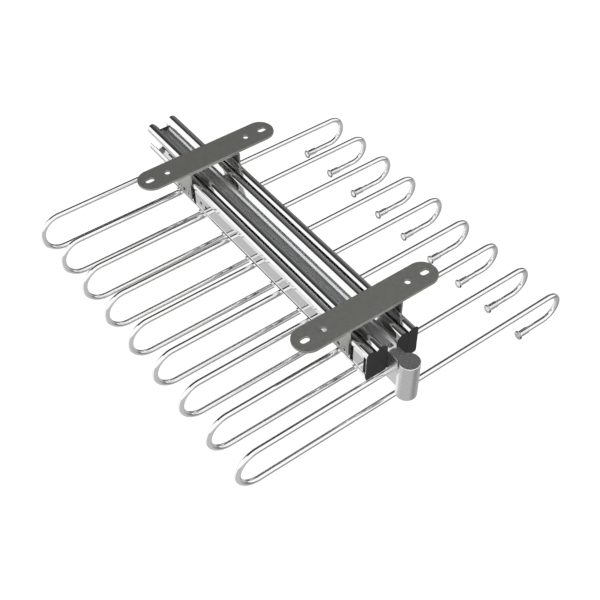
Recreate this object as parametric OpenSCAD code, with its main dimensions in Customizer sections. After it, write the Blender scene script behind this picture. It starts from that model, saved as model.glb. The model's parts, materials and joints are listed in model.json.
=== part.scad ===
// Pull out trouser rack that hangs under a shelf. Two plates screw to the shelf, a pair of
// ball bearing slides runs between their brackets, and nine bent wire arms ride on the bar
// between the slides. X runs along the arms, +Y to the back of the wardrobe, +Z up.
// The origin lies in the top face of the plates, in the middle of the four screw slots.

/* [Mounting plates] */
// Distance between the two slots of a plate
slot_spacing = 144; // [130:1:160]
// Distance from the middle of a slot to the end of the plate
plate_end = 13; // [10:0.5:20]
// Width of each plate, with round ends
plate_w = 32; // [26:1:44]
// Thickness of each plate
plate_t = 2.5; // [1.5:0.5:4]
// Distance between the two plates, middle to middle
plate_spacing = 275; // [240:1:300]
// Length of a screw slot
slot_l = 10; // [8:0.5:12]
// Width of a screw slot
slot_w = 6; // [4:0.5:7]
// Distance from the middle of a slot to the round hole beside it
hole_set = 21.5; // [14:0.5:30]
// Diameter of a round hole
hole_d = 6; // [4:0.5:7]

/* [Brackets] */
// Sheet thickness of a bracket
bracket_t = 2; // [1.5:0.5:3]
// Free height between a bracket and the top of the rails
head_room = 10.5; // [8:0.5:14]
// Width of a bracket along the rails
bracket_l = 30; // [28:1:40]
// Corner radius at the foot of a leg
leg_corner_r = 4; // [1:0.5:6]
// How far the foot of a leg lies below the middle of the rails
leg_foot = 7; // [5:0.5:8]
// Distance between the holes of a leg
leg_hole_pitch = 9.6; // [8:0.2:11]
// Diameter of the holes of a leg
leg_hole_d = 4.2; // [3.6:0.1:4.8]

/* [Rails] */
// Height of a rail
rail_h = 35; // [34:0.5:38]
// Sheet thickness of a rail
rail_t = 1.3; // [1:0.1:1.5]
// How much deeper a moving rail is than a fixed rail
moving_extra = 2.7; // [2:0.1:4]
// Gap between the lips of a fixed rail and those of a moving rail
lip_gap = 4.6; // [4:0.1:6]
// Height of the slot between the two lips of a rail
mouth_h = 15.4; // [14.8:0.2:16]
// How far the lips of a rail bulge out past the slot between them
lip_bulge = 1.2; // [0.6:0.1:1.6]
// Height of the flat back of a fixed rail
back_h = 18.2; // [17:0.2:20]
// Height of the flat back of a moving rail, which stands out to the bar
boss_h = 22.8; // [20:0.2:24]
// How far the rails stand out in front of the middle of the front plate
front_overhang = 39.6; // [32:0.2:52]
// How far the fixed rails stand out behind the middle of the rear plate
rear_overhang = 27.7; // [20:0.1:50]
// How far the moving rails stand out behind the last arm
bar_tail = 31.3; // [20:0.1:60]
// Full travel of the rack
travel = 330; // [280:1:335]

/* [Bearings] */
// Diameter of a ball
ball_d = 5; // [4.6:0.1:5]
// Number of balls in each row
ball_count = 8; // [4:1:10]
// Distance between two balls of a row
ball_pitch = 16; // [12:0.5:16]
// Thickness of a ball cage
cage_t = 0.8; // [0.6:0.1:1]

/* [Carrier bar] */
// Width of the bar
bar_w = 12; // [10:0.5:14]
// Height of the bar
bar_h = 40.8; // [38:0.2:44]
// Wall thickness of the bar
bar_wall = 2; // [1.5:0.1:2.5]
// Depth of the hollow along the top of the bar
bar_dish = 2.6; // [1:0.1:3]
// How far the top of the bar lies below the top of the rails
bar_drop = 5.9; // [5:0.1:7]
// How far the front end of the bar lies behind the front of the end covers
bar_set = 5.5; // [5:0.1:8]

/* [Arms] */
// Distance between two arms
arm_pitch = 48; // [40:1:48]
// Diameter of the wire
wire_d = 6; // [5:0.5:6.5]
// Radius of the bend at the left end of an arm
loop_r = 22.5; // [20:0.5:26]
// Radius of the bend at the right end of an arm
hook_r = 18; // [14:0.5:20]
// How far the left bend lies from the middle of the rack
reach_left = 155.5; // [130:1:180]
// How far the right bend lies from the middle of the rack
reach_right = 223; // [190:1:250]
// Length of straight wire in the hook behind the right bend
hook_l = 35.5; // [28:0.5:45]

/* [Arm tips] */
// Length of the sleeve of a tip
tip_l = 14.5; // [10:0.5:20]
// Diameter of the sleeve of a tip
tip_d = 7.6; // [7.4:0.1:9]
// Diameter of the round end of a tip
tip_head_d = 10.4; // [9.4:0.2:13]
// Thickness of the round end of a tip
tip_head_t = 2.2; // [1.6:0.1:3]

/* [Handle] */
// Diameter of the grip
grip_d = 21.4; // [18:0.2:26]
// Height of the grip
grip_h = 47; // [44:0.5:60]
// Distance from the front of the end covers to the middle of the grip
grip_reach = 23.6; // [20:0.2:36]
// How far the grip reaches down past the bar
grip_drop = 5.5; // [2:0.5:8]
// How far the top of the handle's fin lies below the top of the bar
fin_drop = 3.8; // [0.4:0.2:6]
// Rounding of the edges of the grip
grip_edge = 0.8; // [0.4:0.1:1.5]

/* [End covers] */
// Thickness of the front of an end cover
cover_t = 1; // [0.8:0.1:2]
// How far an end cover stands out past the rail behind it
cover_rim = 1.6; // [0.6:0.1:2]
// Length of the plug of an end cover
plug_l = 4; // [3:0.5:6]

/* [Hidden] */
arm_count = 9;

// Fits and small clearances
wire_fit = 0.05;
rivet_fit = 0.05;
ball_gap = 0.1;
run_gap = 0.3;
part_gap = 0.1;
over = 1;
round_fn = 64;
bend_n = 8;

// Heights, counted down from the top face of the plates
rail_top = -plate_t - bracket_t - head_room;
rail_mid = rail_top - rail_h / 2;
bar_top = rail_top - bar_drop;
bar_foot = bar_top - bar_h;
wire_foot_wall = 3.7;
wire_z = bar_foot + wire_foot_wall + wire_d / 2;
long_z = wire_z - 2 * loop_r;
tip_z = long_z - 2 * hook_r;

// Plates
plate_l = slot_spacing + 2 * plate_end;
hole_spacing = slot_spacing - 2 * hole_set;

// Depth of the rails, from their lips to their back: the top of a rail is a round crown
ball_side_gap = 0.2;
race_slack = 0.1;
crown_flat = 0.4;
crown_u = rail_t + ball_side_gap + ball_d / 2;
race_r = ball_d / 2 + rail_t + race_slack;
race_u = crown_u + crown_flat;
back_lean = 0.3;
fixed_w = race_u + race_r + back_lean;
moving_w = fixed_w + moving_extra;

// Places across the rack, for its right half
moving_back_x = bar_w / 2;
moving_lip_x = moving_back_x + moving_w;
link_x = moving_lip_x + lip_gap / 2;
fixed_lip_x = moving_lip_x + lip_gap;
fixed_back_x = fixed_lip_x + fixed_w;
leg_x = fixed_back_x + bracket_t;

// Places along the rack
cover_set = 0.3;
rail_front = -plate_spacing / 2 - front_overhang;
fixed_front = rail_front + run_gap;
fixed_back = plate_spacing / 2 + rear_overhang;
cover_y = rail_front - cover_t;
front_arm_y = cover_y - cover_set;
bar_front = cover_y + bar_set;
moving_back_end = front_arm_y + (arm_count - 1) * arm_pitch + bar_tail;
moving_l = moving_back_end - rail_front;
bar_end_set = 8.8;
bar_back = moving_back_end - bar_end_set;
bar_l = bar_back - bar_front;
grip_y = cover_y - grip_reach;
fin_back = rail_front;
fin_top = bar_top - fin_drop;

// Seam between the two end covers of a side, and the plugs that hold them
seam_x = moving_lip_x + lip_bulge + 2 * part_gap;
cover_side_rim = 0.6;
cover_foot_rim = 0.4;
cover_foot_r = 2.5;
cover_edge_r = 2;
cover_dip_v = rail_h / 2 - 1.5;
cover_dip_l = 4;
cover_dip_r = 3;
plug_t = 4.5;

// Section of the rails
lip_bend_r = rail_t + 0.1;
lip_curl = 2.2;
crown_r = crown_u + lip_bulge;
rail_hole_d = 4.2;

// Bearings, in rail sections counted from the face of the lips
ball_u = crown_u;
ball_v = rail_h / 2 - rail_t - ball_d / 2 - ball_gap;
race_v = ball_v - ball_d / 2 - ball_gap;
cage_v = race_v + run_gap + cage_t / 2;
cage_w = ball_d;
cage_margin = 6;
cage_l = (ball_count - 1) * ball_pitch + 2 * cage_margin;
cage_seat_share = 0.44;
cage_seat = ball_d * cage_seat_share;
cage_front = rail_front + travel / 4 + cage_margin;

// Link channel, in the same counting
link_clear = 0.5;
link_bend_r = rail_t + 0.3;
link_crease_r = 0.3;
race_half = 2.1;
link_reach = ball_u + race_half;
link_slack = 12;
link_l = fixed_back - rail_front - link_slack;
link_neck_u = rail_t + link_clear;
link_mouth_v = mouth_h / 2 - link_clear;
link_rivet_d = 4;
link_rivet_head_d = 7;
link_rivet_head_t = 0.8;
link_rivet_margin = 44;
link_rivet_count = 5;
link_rivet_pitch = (link_l - 2 * link_rivet_margin) / (link_rivet_count - 1);

// Brackets, rivets and stops
bracket_bend_r = bracket_t + 1.5;
tube_rivet_head_d = 6.6;
tube_rivet_head_t = 0.5;
tube_rivet_bore_d = 2.4;
window_l = 5;
window_h = 21;
window_lift = 1.5;
end_window_l = 3.6;
end_window_set = 0.7;
web_hole_set = 16;
stop_l = 6;

// Bar, its rivets and its closing pieces
bar_rim = 1.5;
bar_edge = 0.6;
bar_rivet_d = 4;
bar_rivet_head_d = 8;
bar_rivet_head_t = 1.2;
bar_rivet_count = 5;
bar_rivet_first = 30;
bar_rivet_last = 62;
bar_rivet_pitch = (moving_l - bar_rivet_first - bar_rivet_last) / (bar_rivet_count - 1);
bar_cap_t = 2;
bar_cap_plug = 8;
tenon_l = 18;
set_screw_d = 3;
tip_edge = 0.5;
handle_screw_d = 4;
handle_screw_head_d = 7;
handle_screw_head_t = 2.4;
handle_screw_l = 8;
handle_screw_set = 13.5;

// Helpers for bent sheet sections
function unit(v) = v / norm(v);
function left_of(v) = [-v[1], v[0]];
function turned(v, a) = [v[0] * cos(a) - v[1] * sin(a), v[0] * sin(a) + v[1] * cos(a)];
function turn(a, b, c) = let (d = unit(b - a), e = unit(c - b))
    atan2(d[0] * e[1] - d[1] * e[0], d[0] * e[0] + d[1] * e[1]);
// The arc of radius r that rounds the corner b of the path a, b, c
function bend(a, b, c, r) = let (d = unit(b - a), w = turn(a, b, c), s = sign(w))
    r == 0 ? [b] : let (mid = b - d * r * tan(abs(w) / 2) + left_of(d) * s * r)
    [for (k = [0 : bend_n]) mid + turned(-left_of(d) * s * r, w * k / bend_n)];
// A path with its inner corners rounded by the radii in r
function rounded(p, r) = [for (i = [0 : len(p) - 1])
    each (i == 0 || i == len(p) - 1) ? [p[i]] : bend(p[i - 1], p[i], p[i + 1], r[i - 1])];
// The path that lies t to the left of path p
function beside(p, t) = [for (i = [0 : len(p) - 1])
    let (d = unit(i == 0 ? p[1] - p[0] : p[i] - p[i - 1]),
         e = unit(i == len(p) - 1 ? p[i] - p[i - 1] : p[i + 1] - p[i]),
         m = left_of(d), n = left_of(e))
    p[i] + (m + n) / (1 + m * n) * t];
function reversed(p) = [for (i = [len(p) - 1 : -1 : 0]) p[i]];
function flipped(p) = [for (q = reversed(p)) [q[0], -q[1]]];

// Sheet of thickness t along path p, on its left side
module sheet_section(p, t) {
    polygon(concat(p, reversed(beside(p, t))));
}

// Stands a section drawn in X and Z up, from y0 to y0 + l
module along(y0, l) {
    translate([0, y0 + l, 0]) rotate([90, 0, 0]) linear_extrude(l) children();
}

// Puts a half made for the right on the right (side 1) or the left (side -1)
module on_side(side) {
    if (side > 0) children();
    else mirror([1, 0, 0]) children();
}

// Round bar along X, from x0 to x1
module bar_x(x0, x1, d) {
    translate([x0, 0, 0]) rotate([0, 90, 0]) cylinder(d = d, h = x1 - x0, $fn = round_fn);
}

// Plates and brackets
module mount_plate(y) {
    color([0.39, 0.39, 0.365]) translate([0, y, -plate_t]) linear_extrude(plate_t) difference() {
        union() {
            square([plate_l - plate_w, plate_w], center = true);
            for (s = [-1, 1]) translate([s * (plate_l - plate_w) / 2, 0])
                circle(d = plate_w, $fn = round_fn);
        }
        for (s = [-1, 1]) {
            translate([s * slot_spacing / 2, 0]) square([slot_l - slot_w, slot_w], center = true);
            for (e = [-1, 1]) translate([s * slot_spacing / 2 + e * (slot_l - slot_w) / 2, 0])
                circle(d = slot_w, $fn = round_fn);
            translate([s * hole_spacing / 2, 0]) circle(d = hole_d, $fn = round_fn);
        }
    }
}

module leg_corner() {
    translate([0, -bracket_l / 2, rail_mid - leg_foot]) rotate([0, 90, 0])
        linear_extrude(bracket_t + 2 * over) difference() {
            translate([-leg_corner_r, -over]) square([leg_corner_r + over, leg_corner_r + over]);
            translate([-leg_corner_r, leg_corner_r]) circle(r = leg_corner_r, $fn = round_fn);
        }
}

module bracket(y) {
    foot = rail_mid - leg_foot;
    path = [[-leg_x, foot], [-leg_x, -plate_t], [leg_x, -plate_t], [leg_x, foot]];
    color([0.67, 0.67, 0.65]) translate([0, y, 0]) difference() {
        along(-bracket_l / 2, bracket_l)
            sheet_section(rounded(reversed(path), [bracket_bend_r, bracket_bend_r]), bracket_t);
        for (s = [-1, 1]) on_side(s) translate([fixed_back_x - over, 0, 0]) {
            for (k = [-1 : 1]) translate([0, k * leg_hole_pitch, rail_mid])
                bar_x(0, bracket_t + 2 * over, leg_hole_d);
            leg_corner();
            mirror([0, 1, 0]) leg_corner();
        }
    }
}

// Hollow rivets that join the legs to the fixed rails
module leg_rivets() {
    in_x = fixed_back_x - rail_t;
    color([0.72, 0.72, 0.72]) for (s = [-1, 1], y = [-1, 1], k = [-1, 1]) on_side(s)
        translate([0, y * plate_spacing / 2 + k * leg_hole_pitch, rail_mid]) difference() {
            union() {
                bar_x(in_x, leg_x, leg_hole_d - 2 * rivet_fit);
                bar_x(in_x - tube_rivet_head_t, in_x, tube_rivet_head_d);
                bar_x(leg_x, leg_x + tube_rivet_head_t, tube_rivet_head_d);
            }
            bar_x(in_x - over, leg_x + over, tube_rivet_bore_d);
        }
}

// Rails: a section has its slot at u = 0 and its back at u = w, with v up from the middle. The
// back is flat over the height flat_h. From its edge a straight shoulder runs up to the race,
// which turns round the point race_u, and rises by the angle that race_lean gives.
function race_lean(w, flat_h) = let (p = [w - race_u, (rail_h - flat_h) / 2 - race_r])
    acos(race_r / norm(p)) - atan2(p[1], p[0]);
function race_reach(w, flat_h, r) = r * tan((90 - race_lean(w, flat_h)) / 2);
function rail_half(w, flat_h) = [[0, mouth_h / 2], [-lip_bulge, mouth_h / 2 + lip_curl],
    [-lip_bulge, rail_h / 2], [race_u + race_reach(w, flat_h, race_r), rail_h / 2], [w, flat_h / 2]];
function rail_path(w, flat_h) = let (half = rail_half(w, flat_h), r = [lip_bend_r, crown_r, race_r, 0])
    rounded(concat(half, flipped(half)), concat(r, reversed(r)));

module rail_section(w, flat_h) {
    p = rail_path(w, flat_h);
    polygon(concat(p, reversed(beside(p, -rail_t))));
}

module fixed_rail(side) {
    color([0.80, 0.80, 0.81]) on_side(side) difference() {
        along(fixed_front, fixed_back - fixed_front) translate([fixed_lip_x, rail_mid])
            rail_section(fixed_w, back_h);
        for (y = [-1, 1], k = [-1 : 1])
            translate([0, y * plate_spacing / 2 + k * leg_hole_pitch, rail_mid])
                bar_x(link_x, leg_x, rail_hole_d);
        for (k = [0, 1])
            translate([0, (plate_spacing - bracket_l) / 2 - web_hole_set - k * leg_hole_pitch, rail_mid])
                bar_x(link_x, leg_x, rail_hole_d);
        for (y = [-(plate_spacing + bracket_l) / 2 - window_l, (plate_spacing - bracket_l) / 2 - window_l])
            web_window(y, window_l);
        web_window(fixed_front + end_window_set, end_window_l);
    }
}

module web_window(y, l) {
    reach = race_r + back_lean;
    translate([fixed_back_x - reach, y, rail_mid + window_lift - window_h / 2])
        cube([reach + over, l, window_h]);
}

module moving_rail(side) {
    color([0.82, 0.82, 0.83]) on_side(side) difference() {
        along(rail_front, moving_l) translate([moving_lip_x, rail_mid]) mirror([1, 0])
            rail_section(moving_w, boss_h);
        for (k = [0 : bar_rivet_count - 1])
            translate([0, bar_rivet_y(k), rail_mid]) bar_x(0, moving_lip_x, rail_hole_d);
    }
}

// Block that stops the link at the back end of a fixed rail
module link_stop(side) {
    half_h = back_h / 2 - rail_t / 2;
    color([0.10, 0.10, 0.10]) on_side(side)
        translate([fixed_lip_x + rail_t + part_gap, fixed_back - stop_l, rail_mid - half_h])
            cube([fixed_w - 2 * rail_t - part_gap, stop_l, 2 * half_h]);
}

// Link between a fixed and a moving rail: two channels, riveted back to back
function link_half() = [[lip_gap / 2 + link_reach, race_v], [lip_gap / 2 + link_neck_u, race_v],
    [lip_gap / 2 + link_neck_u, link_mouth_v], [0, link_mouth_v]];

module link_channel(y0, l) {
    half = link_half();
    path = rounded(concat(half, flipped(half)),
        [link_bend_r, link_crease_r, link_bend_r, link_bend_r, link_crease_r, link_bend_r]);
    difference() {
        along(y0, l) translate([0, rail_mid]) sheet_section(path, rail_t);
        for (k = [0 : link_rivet_count - 1])
            translate([0, link_rivet_y(k), rail_mid]) bar_x(-over, rail_t + over, rail_hole_d);
    }
}

function link_rivet_y(k) = rail_front + link_rivet_margin + k * link_rivet_pitch;

module link_channel_outer(side) {
    color([0.78, 0.78, 0.80]) on_side(side) translate([link_x, 0, 0]) link_channel(rail_front, link_l);
}

module link_channel_inner(side) {
    color([0.78, 0.78, 0.80]) on_side(side) translate([link_x, 0, 0]) mirror([1, 0, 0])
        link_channel(rail_front + plug_l + run_gap, link_l - plug_l - run_gap);
}

module link_rivets(side) {
    color([0.74, 0.74, 0.74]) on_side(side) for (k = [0 : link_rivet_count - 1])
        translate([link_x, link_rivet_y(k), rail_mid]) {
            bar_x(-rail_t, rail_t, link_rivet_d);
            for (s = [0, 1]) mirror([s, 0, 0]) bar_x(rail_t, rail_t + link_rivet_head_t, link_rivet_head_d);
        }
}

// Bearings: out is 1 in the fixed rail and -1 in the moving rail
function ball_x(out) = link_x + out * (lip_gap / 2 + ball_u);
function ball_y(k) = cage_front + cage_margin + k * ball_pitch;

module ball_cage(side, out) {
    color([0.70, 0.68, 0.60]) on_side(side) for (v = [-1, 1]) difference() {
        translate([ball_x(out) - cage_w / 2, cage_front, rail_mid + v * cage_v - cage_t / 2])
            cube([cage_w, cage_l, cage_t]);
        for (k = [0 : ball_count - 1]) translate([ball_x(out), ball_y(k), rail_mid + v * cage_v - cage_t])
            cylinder(r = cage_seat, h = 2 * cage_t, $fn = round_fn);
    }
}

module balls(side, out) {
    color([0.88, 0.88, 0.90]) on_side(side) for (v = [-1, 1], k = [0 : ball_count - 1])
        translate([ball_x(out), ball_y(k), rail_mid + v * ball_v]) sphere(d = ball_d, $fn = round_fn);
}

// End covers: the outer one sits on the link, the inner one on the moving rail. Their tops
// follow the crowns of the two rails and dip where they meet, at the seam.
module cover(seam, back_x, side_v, crest_x, crest_r) {
    top = rail_h / 2 + cover_rim;
    foot = -rail_h / 2 - cover_foot_rim;
    d = sign(back_x - seam);
    p = [[seam, foot], [back_x, foot], [back_x, side_v], [crest_x, top],
        [seam + d * cover_dip_l, top], [seam, cover_dip_v]];
    along(cover_y, cover_t) translate([0, rail_mid])
        polygon(rounded(p, [cover_foot_r, cover_edge_r, crest_r, cover_dip_r]));
}

module end_cover_outer(side) {
    half_h = link_mouth_v - rail_t - link_crease_r - part_gap;
    back_x = fixed_back_x + cover_side_rim;
    color([0.10, 0.10, 0.10]) on_side(side) {
        cover(seam_x, back_x, rail_h / 2 - race_r, back_x - cover_side_rim, race_r);
        translate([link_x + rail_t, rail_front, rail_mid - half_h])
            cube([plug_t, plug_l, 2 * half_h]);
    }
}

module end_cover_inner(side) {
    half_h = boss_h / 2 - 2 * rail_t;
    back_x = moving_back_x + part_gap;
    crest_r = race_r + cover_rim;
    crest_x = moving_lip_x - race_u - race_reach(moving_w, boss_h, crest_r);
    side_v = rail_h / 2 + cover_rim - (crest_x - back_x) / tan(race_lean(moving_w, boss_h));
    color([0.10, 0.10, 0.10]) on_side(side) {
        cover(seam_x - part_gap, back_x, side_v, crest_x, crest_r);
        translate([moving_back_x + rail_t, rail_front, rail_mid - half_h])
            cube([plug_t, plug_l, 2 * half_h]);
    }
}

// Bar: a hollow section with a dished top
function dish_path() = let (half = bar_w / 2 - bar_rim,
    r = (half * half + bar_dish * bar_dish) / (2 * bar_dish), a = asin(half / r))
    [for (k = [-2 * bend_n : 2 * bend_n]) let (b = a * k / (2 * bend_n))
        [r * sin(b), bar_top + r - bar_dish - r * cos(b)]];

module bar_outline() {
    polygon(concat([[-bar_w / 2, bar_top]], dish_path(), [[bar_w / 2, bar_top],
        [bar_w / 2, bar_foot + bar_edge], [bar_w / 2 - bar_edge, bar_foot],
        [bar_edge - bar_w / 2, bar_foot], [-bar_w / 2, bar_foot + bar_edge]]));
}

module bar_hollow(gap) {
    w = bar_w / 2 - bar_wall - gap;
    top = bar_top - bar_dish - bar_wall - gap;
    foot = bar_foot + bar_wall + gap;
    translate([-w, foot]) square([2 * w, top - foot]);
}

function bar_rivet_y(k) = rail_front + bar_rivet_first + k * bar_rivet_pitch;
function arm_y(i) = front_arm_y + (arm_count - i) * arm_pitch;

module carrier_bar() {
    color([0.66, 0.67, 0.68]) difference() {
        along(bar_front, bar_l) difference() {
            bar_outline();
            bar_hollow(0);
        }
        for (k = [0 : bar_rivet_count - 1])
            translate([0, bar_rivet_y(k), rail_mid]) bar_x(-bar_w, bar_w, rail_hole_d);
        for (i = [1 : arm_count - 1]) translate([0, arm_y(i), 0]) {
            translate([0, 0, wire_z]) bar_x(-bar_w, bar_w, wire_d + 2 * wire_fit);
            translate([0, 0, bar_foot - over])
                cylinder(d = set_screw_d, h = bar_wall + 2 * over, $fn = round_fn);
        }
        translate([0, bar_front + handle_screw_set, bar_foot - over])
            cylinder(d = handle_screw_d + 2 * rivet_fit, h = bar_wall + 2 * over, $fn = round_fn);
    }
}

module carrier_rivets() {
    shank_x = bar_w / 2 + rail_t;
    color([0.74, 0.74, 0.74]) for (k = [0 : bar_rivet_count - 1]) translate([0, bar_rivet_y(k), rail_mid]) {
        bar_x(-shank_x, shank_x, bar_rivet_d);
        for (s = [-1, 1]) on_side(s) bar_x(shank_x, shank_x + bar_rivet_head_t, bar_rivet_head_d);
    }
}

module bar_end_plug() {
    color([0.08, 0.08, 0.08]) {
        along(bar_back, bar_cap_t) bar_outline();
        along(bar_back - bar_cap_plug, bar_cap_plug) bar_hollow(part_gap);
    }
}

// Arms: one wire each, from the bar to the left, round the loop, right and back in the hook
module half_turn(x, z, r, side) {
    translate([x, 0, z]) rotate([90, 0, 0]) rotate([0, 0, side > 0 ? -90 : 90])
        rotate_extrude(angle = 180, $fn = 2 * round_fn) translate([r, 0])
            circle(d = wire_d, $fn = round_fn);
}

module arm(i) {
    color([0.86, 0.86, 0.86]) translate([0, arm_y(i), 0]) {
        translate([0, 0, wire_z]) bar_x(-reach_left, bar_w / 2, wire_d);
        half_turn(-reach_left, wire_z - loop_r, loop_r, -1);
        translate([0, 0, long_z]) bar_x(-reach_left, reach_right, wire_d);
        half_turn(reach_right, long_z - hook_r, hook_r, 1);
        translate([0, 0, tip_z]) bar_x(reach_right - hook_l, reach_right, wire_d);
    }
}

// Tips: a clear sleeve with a round end, drawn from its end at x = 0
module tip(i) {
    bore_r = wire_d / 2 + wire_fit;
    color([0.93, 0.93, 0.93]) translate([reach_right - hook_l - tip_head_t, arm_y(i), tip_z])
        rotate([0, 90, 0]) rotate_extrude($fn = round_fn)
            polygon([[0, 0], [tip_head_d / 2 - tip_edge, 0], [tip_head_d / 2, tip_edge],
                [tip_head_d / 2, tip_head_t - tip_edge], [tip_head_d / 2 - tip_edge, tip_head_t],
                [tip_d / 2, tip_head_t], [tip_d / 2, tip_l], [bore_r, tip_l],
                [bore_r, tip_head_t], [0, tip_head_t]]);
}

module arm_set_screws() {
    h = wire_z - wire_d / 2 - bar_foot;
    color([0.30, 0.30, 0.30]) for (i = [1 : arm_count]) translate([0, arm_y(i), bar_foot])
        cylinder(d = set_screw_d, h = h, $fn = round_fn);
}

// Handle: a block flush with the bar, a fin that is a little lower, and an upright grip
module handle() {
    color([0.70, 0.70, 0.70]) difference() {
        union() {
            along(fin_back, bar_front - fin_back) bar_outline();
            along(grip_y, fin_back - grip_y) intersection() {
                translate([-bar_w / 2, bar_foot]) square([bar_w, fin_top - bar_foot]);
                bar_outline();
            }
            along(bar_front, tenon_l) bar_hollow(part_gap);
            translate([0, grip_y, bar_foot - grip_drop]) rotate_extrude($fn = 2 * round_fn)
                polygon([[0, 0], [grip_d / 2 - grip_edge, 0], [grip_d / 2, grip_edge],
                    [grip_d / 2, grip_h - grip_edge], [grip_d / 2 - grip_edge, grip_h], [0, grip_h]]);
        }
        translate([0, bar_front + handle_screw_set, bar_foot])
            cylinder(d = handle_screw_d + 2 * rivet_fit, h = handle_screw_l, $fn = round_fn);
        translate([0, arm_y(arm_count), wire_z]) bar_x(-bar_w, bar_w, wire_d + 2 * wire_fit);
        translate([0, arm_y(arm_count), bar_foot])
            cylinder(d = set_screw_d + 2 * rivet_fit, h = wire_z - bar_foot, $fn = round_fn);
    }
}

module handle_screw() {
    color([0.30, 0.30, 0.30]) translate([0, bar_front + handle_screw_set, bar_foot]) {
        cylinder(d = handle_screw_d, h = handle_screw_l, $fn = round_fn);
        translate([0, 0, -handle_screw_head_t])
            cylinder(d = handle_screw_head_d, h = handle_screw_head_t, $fn = round_fn);
    }
}

mount_plate(-plate_spacing / 2);  // mount_plate_front
mount_plate(plate_spacing / 2);  // mount_plate_rear
bracket(-plate_spacing / 2);  // bracket_front
bracket(plate_spacing / 2);  // bracket_rear
leg_rivets();
fixed_rail(-1);  // fixed_rail_left
fixed_rail(1);  // fixed_rail_right
link_stop(-1);  // link_stop_left
link_stop(1);  // link_stop_right
link_channel_outer(-1);  // link_channel_left_outer
link_channel_inner(-1);  // link_channel_left_inner
link_rivets(-1);  // link_rivets_left
link_channel_outer(1);  // link_channel_right_outer
link_channel_inner(1);  // link_channel_right_inner
link_rivets(1);  // link_rivets_right
ball_cage(-1, 1);  // ball_cage_left_outer
ball_cage(-1, -1);  // ball_cage_left_inner
ball_cage(1, 1);  // ball_cage_right_outer
ball_cage(1, -1);  // ball_cage_right_inner
balls(-1, 1);  // balls_left_outer
balls(-1, -1);  // balls_left_inner
balls(1, 1);  // balls_right_outer
balls(1, -1);  // balls_right_inner
moving_rail(-1);  // moving_rail_left
moving_rail(1);  // moving_rail_right
end_cover_outer(-1);  // end_cover_left_outer
end_cover_inner(-1);  // end_cover_left_inner
end_cover_outer(1);  // end_cover_right_outer
end_cover_inner(1);  // end_cover_right_inner
carrier_bar();
carrier_rivets();
bar_end_plug();
arm(1);  // arm_1
arm(2);  // arm_2
arm(3);  // arm_3
arm(4);  // arm_4
arm(5);  // arm_5
arm(6);  // arm_6
arm(7);  // arm_7
arm(8);  // arm_8
arm(9);  // arm_9
tip(1);  // tip_1
tip(2);  // tip_2
tip(3);  // tip_3
tip(4);  // tip_4
tip(5);  // tip_5
tip(6);  // tip_6
tip(7);  // tip_7
tip(8);  // tip_8
tip(9);  // tip_9
arm_set_screws();
handle();
handle_screw();
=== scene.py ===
"""Looks of a pull out trouser rack: chrome wires and rails, zinc brackets, a satin grip."""

import json
import logging
import math
from dataclasses import dataclass
from enum import Enum

import bmesh
import bpy
import numpy as np
from mathutils import Matrix, Vector
from mathutils.geometry import delaunay_2d_cdt


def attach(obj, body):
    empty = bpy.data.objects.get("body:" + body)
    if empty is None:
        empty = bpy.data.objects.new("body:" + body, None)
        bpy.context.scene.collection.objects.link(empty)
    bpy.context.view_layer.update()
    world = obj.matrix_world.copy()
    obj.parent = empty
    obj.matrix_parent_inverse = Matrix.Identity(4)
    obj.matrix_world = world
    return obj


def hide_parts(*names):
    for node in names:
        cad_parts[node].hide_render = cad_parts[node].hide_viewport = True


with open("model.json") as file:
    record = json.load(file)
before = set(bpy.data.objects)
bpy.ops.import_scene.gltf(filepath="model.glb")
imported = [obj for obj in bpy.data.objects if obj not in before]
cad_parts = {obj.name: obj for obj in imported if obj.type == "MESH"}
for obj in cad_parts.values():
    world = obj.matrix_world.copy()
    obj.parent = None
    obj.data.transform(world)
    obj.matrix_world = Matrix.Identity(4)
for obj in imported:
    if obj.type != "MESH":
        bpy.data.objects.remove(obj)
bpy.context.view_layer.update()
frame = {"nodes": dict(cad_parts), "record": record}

log = logging.getLogger("rack")
MM = 0.001
NEARLY_HALF = 0.9999
MERGE = 2e-7
CLOSE = 1e-7
INSIDE_ONLY = 1
NOISE = (0.3, 0.7)
WHITE = (1.0, 1.0, 1.0, 1.0)
Array = np.ndarray
Triple = tuple[float, float, float]
Colour = Triple
Socket = bpy.types.NodeSocket
Span = tuple[float, float]
Loop = list[Span]


# Curves in a plane, in millimetres


def unit(rows: Array) -> Array:
    """Each row divided by its length."""
    return rows / np.linalg.norm(rows, axis=-1, keepdims=True)


def left_of(rows: Array) -> Array:
    """Each row of two numbers turned a quarter to the left."""
    return np.stack([-rows[..., 1], rows[..., 0]], axis=-1)


def beside(path: Array, gap: float, closed: bool = False) -> Array:
    """Shifts a path sideways.

    Each point moves along the sum of the normals m and n of its two stretches, by
    gap / (1 + m . n), so that the shifted stretches stay parallel.

    Args:
        path: points of two numbers.
        gap: the shift to the left, or to the right where it is negative.
        closed: whether the last point joins the first.

    Returns:
        The shifted points.
    """
    if closed:
        after = unit(np.roll(path, -1, axis=0) - path)
        before = np.roll(after, 1, axis=0)
    else:
        step = unit(np.diff(path, axis=0))
        after, before = np.concatenate([step, step[-1:]]), np.concatenate([step[:1], step])
    m, n = left_of(before), left_of(after)
    return path + (m + n) / (1.0 + np.sum(m * n, axis=1, keepdims=True)) * gap


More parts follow.
